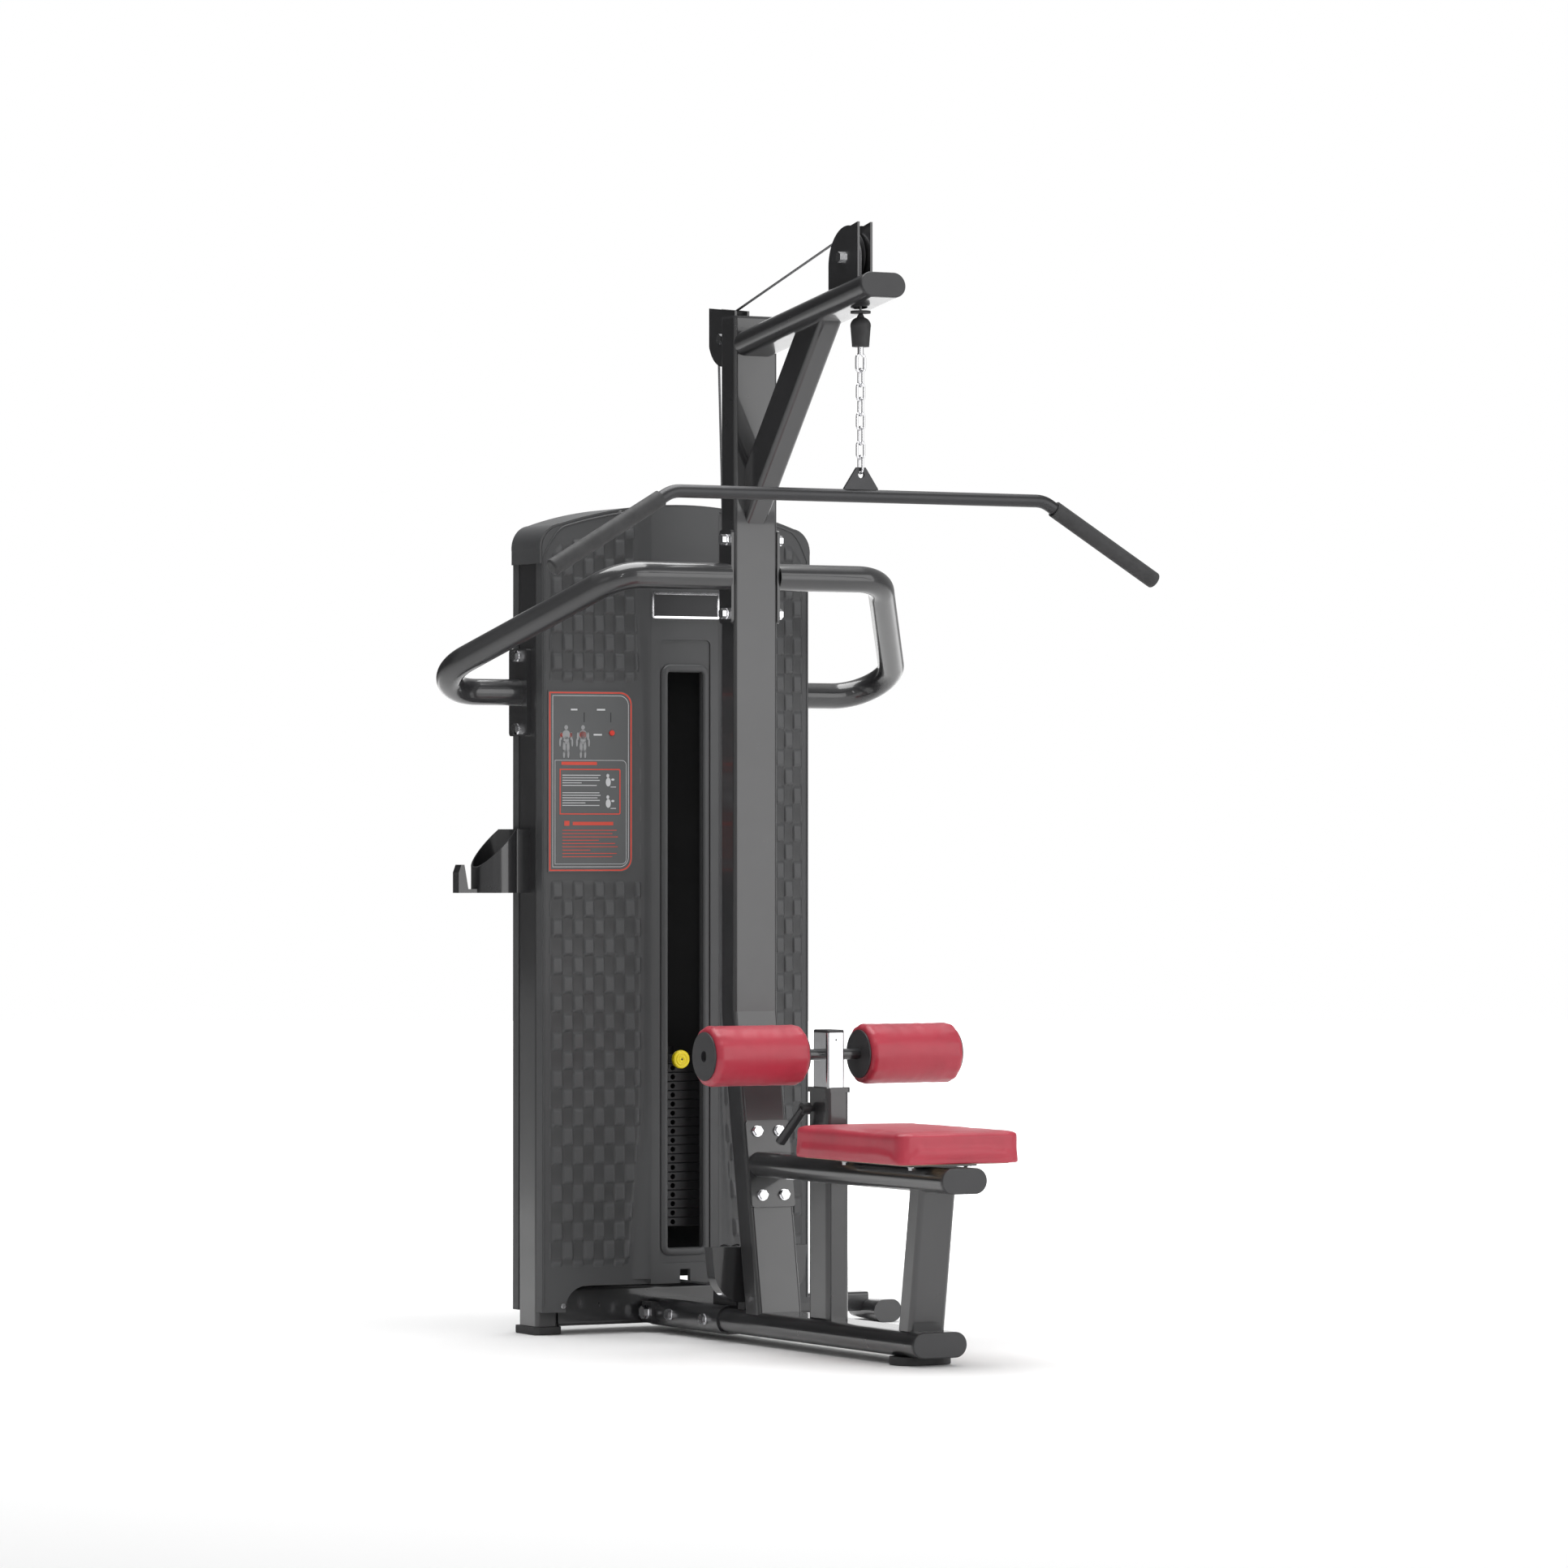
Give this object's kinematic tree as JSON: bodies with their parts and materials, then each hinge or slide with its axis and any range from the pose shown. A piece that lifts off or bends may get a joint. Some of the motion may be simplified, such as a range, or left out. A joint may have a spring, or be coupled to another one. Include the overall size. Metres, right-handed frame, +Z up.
{
  "type": "lat pulldown machine",
  "caption": "Cable pulldown gym machine: wide bent bar on a chain, seat, red thigh rollers and a shrouded weight stack.",
  "frame": {"origin": "middle of the machine's footprint at floor level, on its mid-plane", "axes": "+Z up; -Y towards the seat and the user; +X to the user's right when facing the weight tower"},
  "size_m": [1.3796, 1.3579, 2.236],
  "materials": {
    "painted_black": "gloss",
    "stack_black": "satin",
    "shroud_grey": "matte",
    "black_plastic": "satin",
    "black_rubber": "matte",
    "chrome": "polished",
    "brushed_steel": "satin",
    "red_vinyl": "satin",
    "knob_yellow": "gloss",
    "button_red": "gloss",
    "placard_grey": "satin",
    "plywood": "matte"
  },
  "bodies": {
    "frame": {"base_tube": "painted_black", "tube_caps": "black_plastic", "feet": "black_rubber", "base_sleeve": "painted_black", "frame_bolts": "chrome", "tower_frame": "painted_black", "outrigger": "painted_black", "front_shroud": "shroud_grey", "rear_shroud": "shroud_grey", "top_cover": "shroud_grey", "placard": "placard_grey", "sign": "chrome", "column": "painted_black", "arm": "painted_black", "brace": "painted_black", "seat_tube": "painted_black", "front_leg": "painted_black", "post": "painted_black", "seat_bracket": "painted_black", "seat_board": "plywood", "seat_pad": "red_vinyl", "guide_rods": "chrome", "stack_cushions": "black_rubber", "weight_plates": "stack_black", "front_pulley_bracket": "painted_black", "rear_pulley_bracket": "painted_black", "lower_pulley_brackets": "painted_black", "tower_pulley_bracket": "painted_black", "pulley_axles": "chrome", "main_cable": "brushed_steel", "bar_cable": "brushed_steel", "stack_cable": "brushed_steel", "handle_left": "painted_black", "handle_right": "painted_black", "cup_holder": "painted_black", "pulley_guard": "painted_black"},
    "cable_end": {"bullet_cover": "black_rubber"},
    "chain": {"swivel_shackle": "chrome", "chain": "chrome"},
    "lat_bar": {"lat_bar": "painted_black", "bar_tab": "painted_black", "grips": "black_rubber"},
    "stack": {"head_plate": "stack_black", "selector_stem": "chrome"},
    "selector_pin": {"selector_pin": "chrome", "pin_knob": "knob_yellow"},
    "front_pulley": {"front_pulley": "black_plastic"},
    "rear_pulley": {"rear_pulley": "black_plastic"},
    "lower_front_pulley": {"lower_front_pulley": "black_plastic"},
    "lower_rear_pulley": {"lower_rear_pulley": "black_plastic"},
    "tower_pulley": {"tower_pulley": "black_plastic"},
    "thigh_pads": {"inner_post": "chrome", "inner_post_cap": "black_plastic", "roller_rod": "painted_black"},
    "roller_left": {"roller_left_pad": "red_vinyl", "roller_left_caps": "black_plastic"},
    "roller_right": {"roller_right_pad": "red_vinyl", "roller_right_caps": "black_plastic"},
    "clamp_lever": {"clamp_lever": "black_plastic"},
    "reset_button": {"reset_button": "button_red"}
  },
  "joints": [
    {"name": "bar_pull", "type": "slide", "parent": "frame", "child": "cable_end", "axis": [0, 0, -1], "range_m": [0, 0.75], "deforming": ["bar_cable"]},
    {"name": "stack_lift", "type": "slide", "parent": "frame", "child": "stack", "axis": [0, 0, 1], "range_m": [0, 0.75], "deforming": ["stack_cable"]},
    {"name": "bar_swivel", "type": "hinge", "parent": "cable_end", "child": "chain", "pos_m": [0, -0.272, 1.99], "axis": [0, 0, 1], "range_deg": [-30, 30]},
    {"name": "bar_tilt", "type": "hinge", "parent": "chain", "child": "lat_bar", "pos_m": [0, -0.272, 1.7375], "axis": [0, 1, 0], "range_deg": [-12, 12]},
    {"name": "pin_slide", "type": "slide", "parent": "stack", "child": "selector_pin", "axis": [0, -1, 0], "range_m": [0, 0.06]},
    {"name": "front_pulley_spin", "type": "hinge", "parent": "frame", "child": "front_pulley", "pos_m": [0, -0.225, 2.17], "axis": [1, 0, 0], "continuous": true},
    {"name": "rear_pulley_spin", "type": "hinge", "parent": "frame", "child": "rear_pulley", "pos_m": [0, 0.274, 2.04], "axis": [1, 0, 0], "continuous": true},
    {"name": "lower_front_pulley_spin", "type": "hinge", "parent": "frame", "child": "lower_front_pulley", "pos_m": [0, 0.262, 0.145], "axis": [1, 0, 0], "continuous": true},
    {"name": "lower_rear_pulley_spin", "type": "hinge", "parent": "frame", "child": "lower_rear_pulley", "pos_m": [0, 0.611, 0.145], "axis": [1, 0, 0], "continuous": true},
    {"name": "tower_pulley_spin", "type": "hinge", "parent": "frame", "child": "tower_pulley", "pos_m": [0, 0.611, 1.49], "axis": [1, 0, 0], "continuous": true},
    {"name": "thigh_pad_height", "type": "slide", "parent": "frame", "child": "thigh_pads", "axis": [0, 0, 1], "range_m": [0, 0.15]},
    {"name": "roller_left_spin", "type": "hinge", "parent": "thigh_pads", "child": "roller_left", "pos_m": [-0.1745, -0.143, 0.5905], "axis": [1, 0, 0], "continuous": true},
    {"name": "roller_right_spin", "type": "hinge", "parent": "thigh_pads", "child": "roller_right", "pos_m": [0.1745, -0.143, 0.5905], "axis": [1, 0, 0], "continuous": true},
    {"name": "clamp_turn", "type": "hinge", "parent": "frame", "child": "clamp_lever", "pos_m": [-0.033, -0.121, 0.483], "axis": [1, 0, 0], "range_deg": [-50, 35]},
    {"name": "button_press", "type": "slide", "parent": "frame", "child": "reset_button", "axis": [0, 1, 0], "range_m": [0, 0.0015], "stiffness_N_per_m": 400}
  ],
  "couplings": [
    {"joint": "stack_lift", "follows": "bar_pull", "ratio": 1},
    {"joint": "front_pulley_spin", "follows": "bar_pull", "rad_per_m": 21.277},
    {"joint": "rear_pulley_spin", "follows": "bar_pull", "rad_per_m": 21.277},
    {"joint": "lower_front_pulley_spin", "follows": "bar_pull", "rad_per_m": -25},
    {"joint": "lower_rear_pulley_spin", "follows": "bar_pull", "rad_per_m": -25},
    {"joint": "tower_pulley_spin", "follows": "bar_pull", "rad_per_m": -25}
  ]
}
